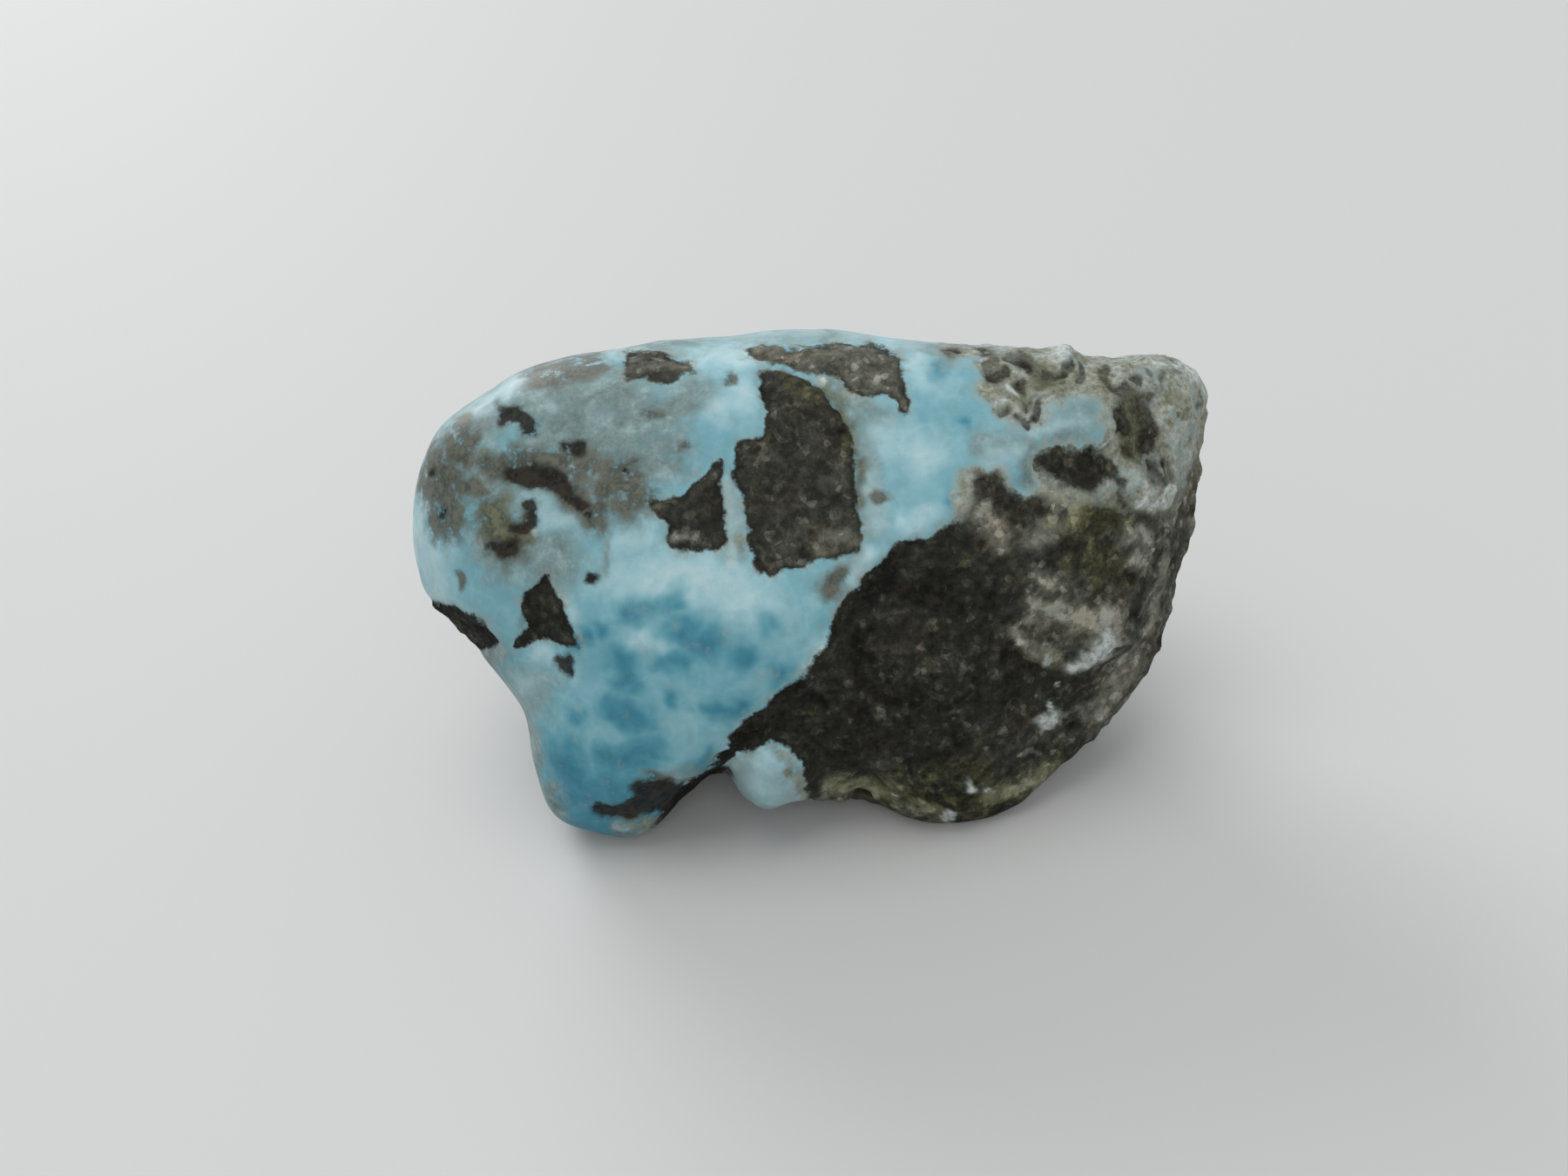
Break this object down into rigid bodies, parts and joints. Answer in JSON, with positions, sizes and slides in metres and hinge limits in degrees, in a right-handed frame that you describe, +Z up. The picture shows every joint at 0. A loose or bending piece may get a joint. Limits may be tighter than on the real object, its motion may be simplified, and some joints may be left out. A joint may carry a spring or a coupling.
{
  "type": "raw larimar stone",
  "caption": "Natural chunk of raw larimar in dark basalt: a worn blue face with basalt clasts, rough broken sides and back, resting on small worn pads.",
  "frame": {"origin": "on the ground under the middle of the stone's bounding box", "axes": "+X along the stone's length, +Z up, and the broad blue face looks towards -Y, leaning back 35 degrees"},
  "size_m": [0.042, 0.0222, 0.0232],
  "materials": {
    "larimar_and_basalt": "worn and slightly waxy on the blue mineral, rough and granular on the basalt"
  },
  "bodies": {
    "root": {"larimar_stone": "larimar_and_basalt"}
  },
  "joints": []
}
